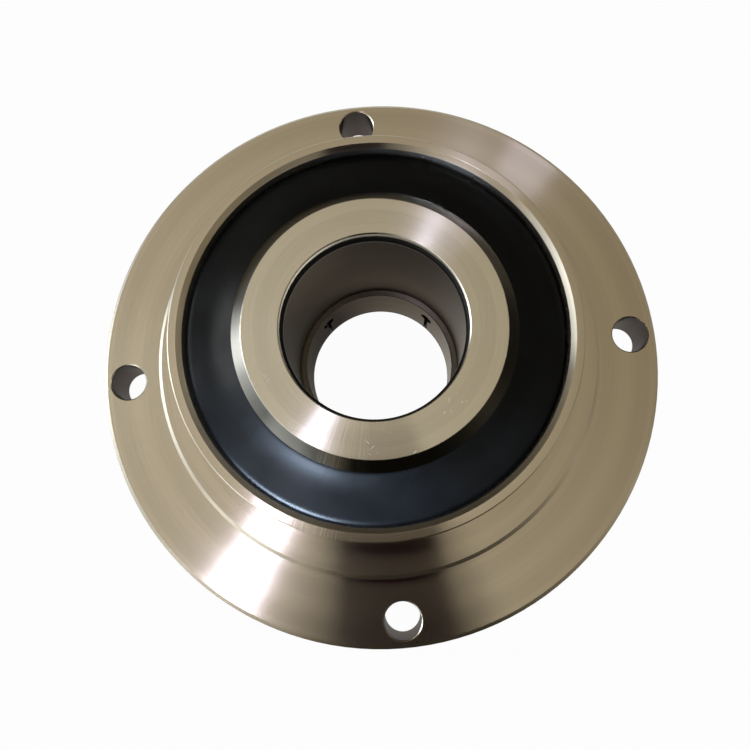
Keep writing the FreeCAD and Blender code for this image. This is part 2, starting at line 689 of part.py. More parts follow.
def make_rotor_head():
    """Steel disc on the sleeve's shoulder; its pocket holds the turning face."""
    body = new_body("rotor_head")
    groove_bottom = f"({HEAD_BOTTOM} + head_ring_height)"
    groove_top = f"({groove_bottom} + 2 * head_ring_section + 2 * ring_gap)"
    groove_floor = f"({SLEEVE_RADIUS} + 2 * head_ring_section + 2 * ring_gap)"
    turned(body, "HeadTurned", [
        (SLIP_BORE, HEAD_BOTTOM),
        (HUB_RADIUS, HEAD_BOTTOM),
        (HUB_RADIUS, POCKET_ROOF),
        (POCKET_WALL, POCKET_ROOF),
        (POCKET_WALL, HEAD_BOTTOM),
        (HEAD_RADIUS, HEAD_BOTTOM),
        (HEAD_RADIUS, HEAD_TOP),
        (SLIP_BORE, HEAD_TOP),
        (SLIP_BORE, groove_top),
        (groove_floor, groove_top),
        (groove_floor, groove_bottom),
        (SLIP_BORE, groove_bottom),
    ])
    holes(body, "DrivePinHoles", FACE_PIN_CIRCLE, "drive_pin_radius + ring_gap", POCKET_ROOF,
          "drive_pin_head_depth + ring_gap", "drive_pin_count", upward=True)


def make_elastomer_shield():
    """Moulded cap over the rotor head, dished from the collar down to the chamber's wall."""
    body = new_body("elastomer_shield")
    skirt_bottom = f"({HEAD_TOP} - shield_skirt_height)"
    outer_top = f"({HEAD_TOP} + shield_outer_height)"
    dish_radius = f"({COLLAR_HUB} + shield_dish_width)"
    dish_top = f"({HEAD_TOP} + shield_dish_height)"
    turned(body, "ShieldTurned", [
        (HEAD_RADIUS, skirt_bottom),
        (SHIELD_RADIUS, skirt_bottom),
        (SHIELD_RADIUS, outer_top),
        (dish_radius, dish_top),
        (COLLAR_HUB, SHIELD_TOP),
        (COLLAR_HUB, HEAD_TOP),
        (HEAD_RADIUS, HEAD_TOP),
    ])
    round_edge(body, "ShieldDish", dish_radius, dish_top, "shield_dish_round")
    round_edge(body, "ShieldRound", SHIELD_RADIUS, outer_top, "shield_round")


def make_front_collar():
    """Collar on the sleeve's end; it clamps the head and shield and houses the shaft's O-ring."""
    ring_wall = "(shaft_radius + 2 * shaft_ring_section + 2 * ring_gap + slip_gap)"
    turned(new_body("front_collar"), "CollarTurned", [
        (SLIP_BORE, HEAD_TOP),
        (COLLAR_HUB, HEAD_TOP),
        (COLLAR_HUB, SHIELD_TOP),
        (COLLAR_RIM, SHIELD_TOP),
        (COLLAR_RIM, COLLAR_TOP + " - collar_bevel_height"),
        (COLLAR_RIM + " - collar_bevel_width", COLLAR_TOP),
        (LIP_BORE + " + edge_break", COLLAR_TOP),
        (LIP_BORE, COLLAR_TOP + " - edge_break"),
        (LIP_BORE, RING_ROOF),
        (ring_wall, RING_ROOF),
        (ring_wall, SLEEVE_TOP),
        (SLIP_BORE, SLEEVE_TOP),
    ])


def make_shaft_sleeve():
    """Tube on the shaft, relieved in the middle and slit at the lock collar's end."""
    body = new_body("shaft_sleeve")
    relief = "(shaft_radius + relief_depth)"
    lip_bottom = f"({SLEEVE_TOP} - lip_height)"
    taper_bottom = f"({lip_bottom} - relief_depth + lip_depth)"
    shoulder = f"({SLEEVE_RADIUS} + shoulder_width)"
    shoulder_bottom = f"({HEAD_BOTTOM} - shoulder_height)"
    slit_start = f"({SLEEVE_RADIUS} + edge_break)"
    turned(body, "SleeveTurned", [
        ("shaft_radius", SLEEVE_BOTTOM + " + edge_break"),
        ("shaft_radius + edge_break", SLEEVE_BOTTOM),
        (SLEEVE_RADIUS + " - edge_break", SLEEVE_BOTTOM),
        (SLEEVE_RADIUS, SLEEVE_BOTTOM + " + edge_break"),
        (SLEEVE_RADIUS, shoulder_bottom),
        (shoulder, shoulder_bottom),
        (shoulder, HEAD_BOTTOM),
        (SLEEVE_RADIUS, HEAD_BOTTOM),
        (SLEEVE_RADIUS, SLEEVE_TOP),
        (LIP_BORE, SLEEVE_TOP),
        (LIP_BORE, lip_bottom),
        (relief, taper_bottom),
        (relief, LEDGE),
        ("shaft_radius + edge_break", LEDGE),
        ("shaft_radius", LEDGE + " - edge_break"),
    ])
    slot = radial_sketch(body, "SlitOutline", slit_start)
    draw_outline(slot, [
        ("-slit_width / 2", SLEEVE_BOTTOM + " - edge_break"),
        ("slit_width / 2", SLEEVE_BOTTOM + " - edge_break"),
        ("slit_width / 2", SLIT_TOP),
        ("-slit_width / 2", SLIT_TOP),
    ])
    slit = cut(body, "Slit", slot, "sleeve_wall + 3 * edge_break")
    drill = radial_sketch(body, "SlitHoleOutline", slit_start)
    draw_circle(drill, "0", SLIT_TOP, "slit_hole_radius")
    hole = cut(body, "SlitHole", drill, "sleeve_wall + 3 * edge_break")
    around(body, "SlitRing", [slit, hole], "slit_count")
    turn_body(body, "slit_azimuth")


def make_lock_collar():
    """Ring whose set screws squeeze the sleeve's fingers on the shaft."""
    body = new_body("lock_collar")
    turned(body, "LockTurned", [
        (SLIP_BORE, LOCK_BOTTOM),
        (LOCK_RADIUS + " - lock_chamfer", LOCK_BOTTOM),
        (LOCK_RADIUS, LOCK_BOTTOM + " + lock_chamfer"),
        (LOCK_RADIUS, LOCK_TOP + " - lock_chamfer"),
        (LOCK_RADIUS + " - lock_chamfer", LOCK_TOP),
        (SLIP_BORE, LOCK_TOP),
    ])
    mouth = radial_sketch(body, "LockHoleOutline", LOCK_RADIUS)
    draw_circle(mouth, "0", LOCK_MIDDLE, "lock_screw_radius + ring_gap")
    hole = cut(body, "LockHole", mouth, "lock_wall + edge_break")
    around(body, "LockHoleRing", [hole], "lock_screw_count")
    turn_body(body, "slit_azimuth + lock_screw_azimuth")


def make_lock_screws():
    """Socket set screws in the lock collar, their tips on the sleeve."""
    body = new_body("lock_screws")
    inner = radial_sketch(body, "LockScrewOutline", SLEEVE_RADIUS)
    draw_circle(inner, "0", LOCK_MIDDLE, "lock_screw_radius")
    screw = padded(body, "LockScrew", inner, f"{LOCK_SCREW_TOP} - {SLEEVE_RADIUS}")
    outer = radial_sketch(body, "LockSocketOutline", LOCK_SCREW_TOP)
    draw_hexagon(outer, "0", LOCK_MIDDLE, "lock_socket_radius")
    key = cut(body, "LockSocket", outer, "lock_socket_depth")
    around(body, "LockScrewRing", [screw, key], "lock_screw_count")
    turn_body(body, "slit_azimuth + lock_screw_azimuth")


def make_static_parts():
    """The gland plate and what is fixed to it."""
    make_gland_plate()
    make_back_plate()
    make_throttle_bush()
    make_snap_ring()
    make_plate_screws()
    make_port_plugs()
    make_springs()
    pins("anti_rotation_pins", SPRING_CIRCLE, "stop_pin_radius", POCKET_FLOOR + " + ring_gap",
         f"stop_pin_reach + {CARRIER_BOTTOM} - {POCKET_FLOOR} - ring_gap", "stop_pin_count",
         "stop_pin_azimuth")
    o_ring("boss_o_ring", f"({BOSS_RADIUS} + boss_ring_proud - 2 * boss_ring_section + ring_gap)",
           "(boss_ring_section - ring_gap)", "boss_groove_height + boss_groove_width / 2")
    o_ring("back_plate_o_ring", f"({PLATE_GROOVE} + ring_gap)", "(plate_ring_section - ring_gap)",
           "-flange_thickness - plate_ring_section")


def make_seat_parts():
    """The sprung stationary face and what moves with it."""
    make_face_carrier()
    make_stationary_face()
    pins("seat_pins", SEAT_PIN_CIRCLE, "seat_pin_radius", SEAT_BOTTOM + " - seat_pin_depth",
         "2 * seat_pin_depth", "seat_pin_count")
    o_ring("carrier_o_ring", f"({TAIL_BORE} - 2 * tail_ring_section - ring_gap)", "tail_ring_section",
           TAIL_GROOVE_BOTTOM + " + tail_ring_section + ring_gap")
    o_ring("stationary_face_o_ring", f"({SEAT_RADIUS} + ring_gap)", "seat_ring_section",
           SEAT_BOTTOM + " + seat_groove_height + seat_ring_section + ring_gap")


def make_rotor_parts():
    """Everything that turns with the shaft."""
    make_shaft_sleeve()
    make_front_collar()
    make_elastomer_shield()
    make_rotor_head()
    make_rotary_face()
    make_lock_collar()
    make_lock_screws()
    pins("drive_pins", FACE_PIN_CIRCLE, "drive_pin_radius", POCKET_ROOF + " - drive_pin_depth",
         "drive_pin_depth + drive_pin_head_depth", "drive_pin_count")
    o_ring("shaft_o_ring", "(shaft_radius + slip_gap)", "shaft_ring_section",
           f"({RING_ROOF} + {SLEEVE_TOP}) / 2")
    o_ring("head_o_ring", f"({SLEEVE_RADIUS} + ring_gap)", "head_ring_section",
           HEAD_BOTTOM + " + head_ring_height + head_ring_section + ring_gap")
    o_ring("rotary_face_o_ring", f"({FACE_RADIUS} + ring_gap)", "face_ring_section",
           HEAD_BOTTOM + " + face_ring_height")


def check_model():
    """Stop if an object failed or a node's shape is missing or broken."""
    doc.recompute()
    for item in doc.Objects:
        if "Invalid" in item.State or "Error" in item.State:
            raise RuntimeError(f"{item.Name} failed: {item.State}")
    for node in nodes:
        if node.Shape.isNull() or not node.Shape.isValid() or not node.Shape.Solids:
            raise RuntimeError(f"{node.Label} has no sound shape")


def write_parts():
    """Write each node to its own file."""
    os.makedirs("parts", exist_ok=True)
    for node in nodes:
        node.Shape.exportStep(f"parts/{node.Label}.step")
        print(node.Label, len(node.Shape.Solids), round(node.Shape.Volume, 1))


fill_sheet()
make_static_parts()
make_seat_parts()
make_rotor_parts()
check_model()
write_parts()
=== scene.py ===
"""Finishes, springs, floor, light and camera for the cartridge mechanical seal, in metres.

+Z is the shaft's axis towards the process side, and azimuths run from +X towards +Y.
"""

import json
import math

import bpy
from mathutils import Matrix, Vector


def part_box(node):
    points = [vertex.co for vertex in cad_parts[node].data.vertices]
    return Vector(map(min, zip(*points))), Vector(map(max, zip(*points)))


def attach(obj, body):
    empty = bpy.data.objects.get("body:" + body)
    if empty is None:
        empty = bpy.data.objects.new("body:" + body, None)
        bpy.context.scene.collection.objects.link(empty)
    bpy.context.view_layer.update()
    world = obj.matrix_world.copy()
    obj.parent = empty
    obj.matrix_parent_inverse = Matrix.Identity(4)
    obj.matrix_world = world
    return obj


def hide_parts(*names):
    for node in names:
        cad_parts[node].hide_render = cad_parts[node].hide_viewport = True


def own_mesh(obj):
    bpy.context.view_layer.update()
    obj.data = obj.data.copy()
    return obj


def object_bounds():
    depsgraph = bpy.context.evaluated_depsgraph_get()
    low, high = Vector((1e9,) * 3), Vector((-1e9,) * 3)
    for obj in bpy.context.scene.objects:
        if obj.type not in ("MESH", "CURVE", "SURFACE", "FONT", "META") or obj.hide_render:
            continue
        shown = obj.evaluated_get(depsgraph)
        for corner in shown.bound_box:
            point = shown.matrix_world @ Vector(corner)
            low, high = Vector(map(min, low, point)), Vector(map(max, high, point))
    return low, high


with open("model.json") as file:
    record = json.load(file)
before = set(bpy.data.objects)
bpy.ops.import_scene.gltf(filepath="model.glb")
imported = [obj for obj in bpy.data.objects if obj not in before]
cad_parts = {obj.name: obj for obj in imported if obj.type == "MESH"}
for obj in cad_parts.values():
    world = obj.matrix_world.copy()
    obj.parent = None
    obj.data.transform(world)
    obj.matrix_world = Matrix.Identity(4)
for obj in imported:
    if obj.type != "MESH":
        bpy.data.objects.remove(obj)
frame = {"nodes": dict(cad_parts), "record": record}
cad_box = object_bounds()
nodes = frame["nodes"]

MM = 0.001
FULL_TURN = 2 * math.pi

# Coil springs behind the floating face
SPRING_COUNT = 8
SPRING_TURNS = 4.5
COIL_RADIUS = 3.0 * MM
WIRE_RADIUS = 0.6 * MM
WIRE_SIDES = 12
STEPS_PER_TURN = 32

# Camera, from the ellipses of the rims in the photograph
CAMERA_PLACE = Vector((-0.00239, -0.05678, 0.27658))
CAMERA_TURN = math.radians(4.42)
CAMERA_TILT = math.radians(10.33)
CAMERA_ROLL = math.radians(-9.80)
CAMERA_LENS_MM = 34.157
CAMERA_SENSOR_MM = 36.0
CAMERA_NEAREST = 0.01

# Where the finish, the painted shade and the painted highlights change within one piece
COLLAR_FACE_LOW = cad_box[1][2] - 0.1 * MM
BEVEL_START = 43.2 * MM
CHATTER_GLINT_LOW = 48.6 * MM
LEDGE_LOW = -14.6 * MM
LEDGE_HIGH = -13.2 * MM
HOLE_MARGIN = 0.05 * MM
HOLE_ROUGHER = 0.15

# Softened edges of the pieces
STEEL_EDGE = 0.12 * MM
MOULDED_EDGE = 0.1 * MM
SHIELD_EDGE = 2.2 * MM

# Tool marks on turned metal: noise scales, and how much height counts beside radius
FINE_RINGS = 3300.0
BROAD_RINGS = 160.0
RING_SLANT = 0.73
STREAK_STRETCH = 700.0
# Lighter lines in one stretch of the rim and the collar, where the bright fan falls: painted glints on the
# tool's chatter
CHATTER_GLINT_AZIMUTH = math.radians(-108.0)
CHATTER_GLINT_FULL = math.radians(8)
CHATTER_GLINT_END = math.radians(16)
CHATTER_GLINT_LINES = 130.0

# Scratches: their directions in degrees, each with its own layer of the noise
SCRATCHES = ((35.0, 0.0), (-50.0, 7.3), (80.0, 3.1))
SCRATCH_STRETCH = 0.14
SCRATCH_NOISE = 2400.0
SCRATCH_SPAN = (0.788, 0.828)

# The part of its scale that a smooth noise mostly fills
NOISE_SPAN = (0.3, 0.7)

# Colours, linear
STEEL = (0.60, 0.555, 0.475)
COLLAR = (0.635, 0.615, 0.56)
# The bore's colour is far darker than the steel's: painted shade inside the bore
BORE_PAINTED_SHADE = (0.10, 0.090, 0.078)
# Colour inside the bolt holes, darkened: painted shade
HOLE_PAINTED_SHADE = (0.09, 0.072, 0.055)
FLECK = (0.90, 0.89, 0.86)
SCREW = (0.50, 0.49, 0.46)
SPRING = (0.56, 0.55, 0.52)
SHIELD = (0.0016, 0.0020, 0.0022)
SEAL = (0.006, 0.006, 0.006)
CERAMIC = (0.055, 0.056, 0.06)
POLYMER = (0.10, 0.09, 0.08)
PAPER = (0.86, 0.86, 0.86)

# Light in the room: linear colour and strength in one
CEILING_LEFT = (0.78, 0.715, 0.59)
CEILING_RIGHT = (0.24, 0.19, 0.10)
DAYLIGHT = (0.84, 0.80, 1.0)
WINDOW_BLUE = (0.60, 0.76, 1.0)
DARK = (0.009, 0.003, 0.004)
WARM = (1.0, 0.87, 0.64)
PALE = (1.0, 0.94, 0.84)
COOL = (0.96, 1.0, 1.0)
WORLD_LIGHT = 0.6

# The ceiling's brighter side and patch, and the brighter side of what lies under the bore
WINDOW_SIDE = (-0.92, -0.39)
PATCH_CENTRE = (0.010, 0.235)
PATCH_GAIN = 1.42
PATCH_SPAN = (0.15, 0.44)
UNDER_BRIGHT_SIDE = (0.86, 0.50)
UNDER_SPAN = 28.0 * MM

# The room's sizes, from the part's foot to the ceiling, and how far away lamps stand outside it
ROOM_RADIUS = 1.6
WALL_TOP = 1.0
LAMP_HEIGHT = 1.0
CEILING_HEIGHT = 1.01
CEILING_SIZE = 5.0
OUTSIDE = 1.95
FOOT = cad_box[0][2]
TABLE_LIFT = 1.0 * MM
TABLE_START = 118.0 * MM
UNDER_RADII = (1.0 * MM, 29.9 * MM)
WALL_BLEND = (0.24, 0.38)

# Floor, and the ring of it under the sleeve's wall that loses its glow: painted shadow
FLOOR_SIZE = 8.0
FLOOR_DROP = 0.2 * MM
FLOOR_GLOW = 0.965
SLEEVE_SHADOW_RING = (30.1 * MM, 36.0 * MM)

# What stands round the part: brightness by azimuth in degrees in the camera's turned frame
LEVEL_TOP = 13.0
TABLE = [(0, 0.42), (50, 0.42), (80, 0.80), (105, 0.80), (130, 0.60), (150, 1.15), (170, 1.5), (190, 1.0),
         (212, 0.66), (236, 0.34), (254, 0.04), (284, 0.05), (306, 0.25), (328, 0.55), (345, 0.40)]
LOW_WALL = [(0, 0.06), (14, 0.03), (136, 0.05), (146, 1.2), (152, 8.0), (162, 13.0), (170, 11.0),
            (178, 5.0), (190, 2.4), (198, 1.8), (206, 4.0), (220, 4.4), (232, 1.4), (246, 0.03),
            (300, 0.03), (322, 0.2), (344, 0.08)]
HIGH_WALL = [(0, 0.45), (30, 0.25), (80, 0.20), (110, 0.20), (144, 0.8), (152, 2.6), (172, 2.8),
             (186, 1.3), (205, 0.5), (236, 0.5), (248, 0.04), (290, 0.03), (306, 0.10), (326, 0.33),
             (345, 0.30)]


class Finish:
    """A material's node tree, with a short call for each kind of node."""

    def __init__(self, name):
        self.material = bpy.data.materials.new(name)
        self.material.use_nodes = True
        self.tree = self.material.node_tree
        self.shader = self.tree.nodes.get("Principled BSDF")
        self.place = self.add("ShaderNodeTexCoord").outputs["Object"]
        parts = self.add("ShaderNodeSeparateXYZ", {"Vector": self.place}).outputs
        self.x, self.y, self.height = parts
        self.radius = self.length(self.x, self.y)
        self.azimuth = self.math("ARCTAN2", self.y, self.x)

    def add(self, kind, inputs=None, **settings):
        """A node with its settings; inputs are numbers, tuples or sockets."""
        node = self.tree.nodes.new(kind)
        for key, value in settings.items():
            setattr(node, key, value)
        for key, value in (inputs or {}).items():
            self.feed(node.inputs[key], value)
        return node

    def feed(self, socket, value):
        """Link a socket, or set its number."""
        if isinstance(value, bpy.types.NodeSocket):
            self.tree.links.new(value, socket)
        else:
            socket.default_value = value

    def math(self, operation, *values):
        """A Math node's result."""
        node = self.add("ShaderNodeMath", operation=operation)
        for socket, value in zip(node.inputs, values):
            self.feed(socket, value)
        return node.outputs[0]

    def length(self, x, y):
        """Length of a vector in the plane."""
        return self.math("SQRT", self.math("ADD", self.math("MULTIPLY", x, x), self.math("MULTIPLY", y, y)))

    def toward(self, x, y):
        """How far a point lies in one direction of the plane."""
        return self.math("ADD", self.math("MULTIPLY", self.x, x), self.math("MULTIPLY", self.y, y))

    def between(self, value, low, high):
        """1 where a value lies between two limits, 0 elsewhere."""
        return self.math("MULTIPLY", self.math("GREATER_THAN", value, low),
                         self.math("LESS_THAN", value, high))

    def spread(self, value, low, high, start=0.0, end=1.0):
        """Map start to end of the value onto low to high, held at both ends."""
        inputs = {"Value": value, "From Min": start, "From Max": end, "To Min": low, "To Max": high}
        return self.add("ShaderNodeMapRange", inputs).outputs[0]

    def vary(self, noise, low, high):
        """Map the span that a noise mostly fills onto low to high."""
        return self.spread(noise, low, high, *NOISE_SPAN)

    def vector(self, x, y, z):
        """Three values as one vector."""
        return self.add("ShaderNodeCombineXYZ", {"X": x, "Y": y, "Z": z}).outputs[0]

    def around(self, rise):
        """A point of the unit circle at this azimuth, lifted, for noise that is drawn out along rings."""
        return self.vector(self.math("COSINE", self.azimuth), self.math("SINE", self.azimuth), rise)

    def noise(self, vector, scale, detail=2.0, roughness=0.5):
        """Smooth noise from 0 to 1."""
        inputs = {"Vector": vector, "Scale": scale, "Detail": detail, "Roughness": roughness}
        return self.add("ShaderNodeTexNoise", inputs).outputs["Fac"]

    def line_noise(self, value, scale, detail=2.0):
        """Noise along one value only, so that it draws rings or lines."""
        inputs = {"W": value, "Scale": scale, "Detail": detail}
        return self.add("ShaderNodeTexNoise", inputs, noise_dimensions="1D").outputs["Fac"]

    def tint(self, colour, factor):
        """A colour times a varying factor."""
        node = self.add("ShaderNodeVectorMath", {0: colour, 1: self.vector(factor, factor, factor)},
                        operation="MULTIPLY")
        return node.outputs[0]

    def mix(self, factor, first, second):
        """A blend of two colours, given with opacity or as sockets."""
        inputs = {"Factor": factor, 6: first, 7: second}
        return self.add("ShaderNodeMix", inputs, data_type="RGBA").outputs[2]

    def mix_shaders(self, factor, first, second):
        """A blend of two shader nodes."""
        return self.add("ShaderNodeMixShader", {0: factor, 1: first.outputs[0], 2: second.outputs[0]})

    def surface(self, **inputs):
        """Set the shader's inputs by name, with _ for a space."""
        for key, value in inputs.items():
            self.feed(self.shader.inputs[key.replace("_", " ")], value)

    def bump(self, height, distance, strength, normal=None):
        """Feed a height, on top of another normal if there is one, into the shader's normal."""
        inputs = {"Height": height, "Distance": distance, "Strength": strength}
        if normal:
            inputs["Normal"] = normal
        self.surface(Normal=self.add("ShaderNodeBump", inputs).outputs[0])

    def soft_edge(self, radius, samples):
        """A normal that rounds the piece's edges off."""
        return self.add("ShaderNodeBevel", {"Radius": radius}, samples=samples).outputs[0]

    def show(self, shader):
        """Put another shader node in the place of the standard one."""
        self.tree.links.new(shader.outputs[0], self.tree.nodes["Material Output"].inputs["Surface"])
        self.tree.nodes.remove(self.shader)
        return self.material

    def shine(self, colour):
        """Make the material shine with a colour instead of reflecting."""
        self.material.cycles.emission_sampling = "NONE"
        return self.show(self.add("ShaderNodeEmission", {"Color": colour}))


def rgba(colour):
    """A colour with full opacity."""
    return (*colour, 1.0)


def bolt_hole_mask(finish):
    """1 inside the four bolt holes of the flange, which lie on the X and Y axes, and 0 elsewhere."""
    sizes = next(mount["dims"] for mount in frame["record"]["mounts"] if mount["kind"] == "bolt_pattern")
    across = finish.math("ABSOLUTE", finish.x)
    along = finish.math("ABSOLUTE", finish.y)
    beyond = finish.math("SUBTRACT", finish.math("MAXIMUM", across, along), sizes["pcd_mm"] * MM / 2)
    beside = finish.math("MINIMUM", across, along)
    return finish.math("LESS_THAN", finish.length(beyond, beside), sizes["hole_r_mm"] * MM + HOLE_MARGIN)


def bevel_painted_shade_mask(finish):
    """1 on the collar's bevel and below it, 0 on its flat face and in its bore: there the collar's colour
    is darkened as painted shade, for the dark that the bevel mirrors.
    """
    return finish.math("MULTIPLY", finish.math("GREATER_THAN", finish.radius, BEVEL_START),
                       finish.math("LESS_THAN", finish.height, COLLAR_FACE_LOW))


def ledge_painted_highlight_mask(finish):
    """1 on the ledge above the band with the slits, 0 on the rest of the bore: there the bore's colour is
    lightened as a painted highlight.
    """
    return finish.between(finish.height, LEDGE_LOW, LEDGE_HIGH)


def fleck_mask(finish):
    """Short bright scratches and flecks on the collar's face, mostly towards its near edge."""
    masks = []
    for angle, lift in SCRATCHES:
        turn = math.radians(angle)
        along = finish.toward(math.cos(turn), math.sin(turn))
        across = finish.toward(-math.sin(turn), math.cos(turn))
        stretched = finish.vector(finish.math("MULTIPLY", along, SCRATCH_STRETCH), across, lift)
        masks.append(finish.spread(finish.noise(stretched, SCRATCH_NOISE, 0.0), 0.0, 1.0, *SCRATCH_SPAN))
    mask = finish.math("MAXIMUM", finish.math("MAXIMUM", masks[0], masks[1]), masks[2])
    patch = finish.spread(finish.noise(finish.place, 85.0, 1.0), 0.0, 1.0, 0.50, 0.56)
    near = finish.math("MULTIPLY", finish.spread(finish.y, 1.0, 0.15, -20.0 * MM, 10.0 * MM),
                       finish.math("GREATER_THAN", finish.height, COLLAR_FACE_LOW))
    return finish.math("MULTIPLY", mask, finish.math("MULTIPLY", patch, near))


def chatter_glints(finish):
    """Short lighter lines across the near left stretch of the rim and the collar, where the tool chattered;
    they lie only where the bright fan falls, as painted glints.
    """
    turn = finish.math("ABSOLUTE", finish.math("SUBTRACT", finish.azimuth, CHATTER_GLINT_AZIMUTH))
    mask = finish.math("MULTIPLY", finish.spread(turn, 1.0, 0.0, CHATTER_GLINT_FULL, CHATTER_GLINT_END),
                       finish.math("GREATER_THAN", finish.height, CHATTER_GLINT_LOW))
    return finish.math("MULTIPLY", mask, finish.line_noise(finish.azimuth, CHATTER_GLINT_LINES, 1.0))


def tool_marks(finish, roughness):
    """Noise of fine rings, with the shade and the roughness that rings, soft streaks and clouds give."""
    line = finish.math("SUBTRACT", finish.radius, finish.math("MULTIPLY", finish.height, RING_SLANT))
    fine = finish.line_noise(line, FINE_RINGS)
    broad = finish.line_noise(line, BROAD_RINGS)
    streak = finish.noise(finish.around(finish.math("MULTIPLY", line, STREAK_STRETCH)), 2.5, 3.0)
    cloud = finish.noise(finish.place, 26.0, 3.0)
    shade = finish.math("ADD", finish.vary(fine, 0.98, 1.02), finish.spread(broad, -0.04, 0.03, 0.4, 0.6))
    shade = finish.math("ADD", shade, finish.vary(streak, -0.02, 0.02))
    rough = finish.math("ADD", finish.vary(fine, -0.012, 0.012),
                        finish.vary(cloud, roughness - 0.012, roughness + 0.012))
    return fine, shade, rough


def turned(name, colour, roughness, anisotropy=1.0, edge_tint=1.0, flecks=False, painted_light_zone=None):
    """Fine turned metal: rings on its faces and walls, soft streaks, painted glints where the tool
    chattered, and painted shade in the bolt holes.

    A painted light zone is a mask with the factor of painted shade or a painted highlight in the colour,
    and the step in roughness, that hold inside it.
    """
    finish = Finish(name)
    fine, shade, rough = tool_marks(finish, roughness)
    if painted_light_zone:
        mask, painted_light_gain, zone_rough = painted_light_zone
        # Painted shade or a painted highlight inside the zone's mask
        inside = mask(finish)
        shade = finish.math("MULTIPLY", shade, finish.spread(inside, 1.0, painted_light_gain))
        rough = finish.math("ADD", rough, finish.math("MULTIPLY", inside, zone_rough))
    # Lighter lines where the tool chattered, only where the bright fan falls: painted glints
    shade = finish.math("ADD", shade, finish.spread(chatter_glints(finish), 0.0, 0.30, 0.35, 0.8))
    # Inside the bolt holes the metal is rougher, and darkened as painted shade
    hole = bolt_hole_mask(finish)
    rough = finish.math("ADD", rough, finish.math("MULTIPLY", hole, HOLE_ROUGHER))
    paint = finish.mix(hole, finish.tint(colour, shade), rgba(HOLE_PAINTED_SHADE))
    metal = 1.0
    if flecks:
        fleck = fleck_mask(finish)
        paint = finish.mix(fleck, paint, rgba(FLECK))
        metal = finish.math("SUBTRACT", 1.0, fleck)
    tangent = finish.add("ShaderNodeTangent", direction_type="RADIAL", axis="Z").outputs[0]
    finish.surface(Base_Color=paint, Roughness=rough, Metallic=metal, Anisotropic=anisotropy,
                   Anisotropic_Rotation=0.25, Tangent=tangent, Specular_Tint=rgba([edge_tint] * 3))
    finish.bump(fine, 0.001 * MM, 0.4, finish.soft_edge(STEEL_EDGE, 4))
    return finish.material


def plain_steel(name, colour, roughness):
    """Machined steel of small parts."""
    finish = Finish(name)
    grain = finish.noise(finish.place, 900.0, 3.0)
    cloud = finish.noise(finish.place, 60.0, 2.0)
    finish.surface(Base_Color=finish.tint(colour, finish.vary(cloud, 0.85, 1.1)),
                   Roughness=finish.vary(grain, roughness - 0.06, roughness + 0.06), Metallic=1.0)
    finish.bump(grain, 0.01 * MM, 0.4)
    return finish.material


def smooth(name, colour, roughness, specular, edge=MOULDED_EDGE):
    """Moulded or ground surface of rubber, ceramic or plastic: a faint bloom, fine grain, soft edges."""
    finish = Finish(name)
    grain = finish.noise(finish.place, 1400.0, 2.0)
    bloom = finish.noise(finish.place, 45.0, 4.0)
    streak = finish.noise(finish.around(finish.math("MULTIPLY", finish.radius, 30.0)), 5.0, 1.0)
    rough = finish.math("ADD", finish.vary(bloom, roughness - 0.03, roughness + 0.03),
                        finish.vary(streak, -0.010, 0.012))
    finish.surface(Base_Color=finish.tint(colour, finish.vary(bloom, 0.8, 1.35)), Roughness=rough,
                   Specular_IOR_Level=specular)
    finish.bump(grain, 0.004 * MM, 0.3, finish.soft_edge(edge, 6))
    return finish.material


FINISHES = {
    "turned_steel": turned("turned_steel", STEEL, roughness=0.19),
    # The collar's bevel and the wall below it are darkened to 0.13 of its colour: painted shade for the
    # dark shield they mirror
    "collar_steel": turned("collar_steel", COLLAR, roughness=0.19, flecks=True,
                           painted_light_zone=(bevel_painted_shade_mask, 0.13, -0.10)),
    # The bore's steel is darkened, with a dim edge tint: painted shade inside the bore
    "bore_steel": turned("bore_steel", BORE_PAINTED_SHADE, roughness=0.24, anisotropy=0.8, edge_tint=0.36,
                         # The ledge is lightened 2.2 times over the dark bore: a painted highlight
                         painted_light_zone=(ledge_painted_highlight_mask, 2.2, 0.15)),
    "screw_steel": plain_steel("screw_steel", SCREW, roughness=0.36),
    "spring_wire": plain_steel("spring_wire", SPRING, roughness=0.30),
    "shield_rubber": smooth("shield_rubber", SHIELD, roughness=0.27, specular=0.12, edge=SHIELD_EDGE),
    "seal_rubber": smooth("seal_rubber", SEAL, roughness=0.42, specular=0.2),
    "face_ceramic": smooth("face_ceramic", CERAMIC, roughness=0.2, specular=0.6),
    "bush_plastic": smooth("bush_plastic", POLYMER, roughness=0.5, specular=0.4),
}


def dress_nodes():
    """Give each piece the finish of its material slot."""
    for part in frame["record"]["subparts"]:
        mesh = nodes[part["node"]].data
        mesh.materials.clear()
        mesh.materials.append(FINISHES[part["material_slot"]])


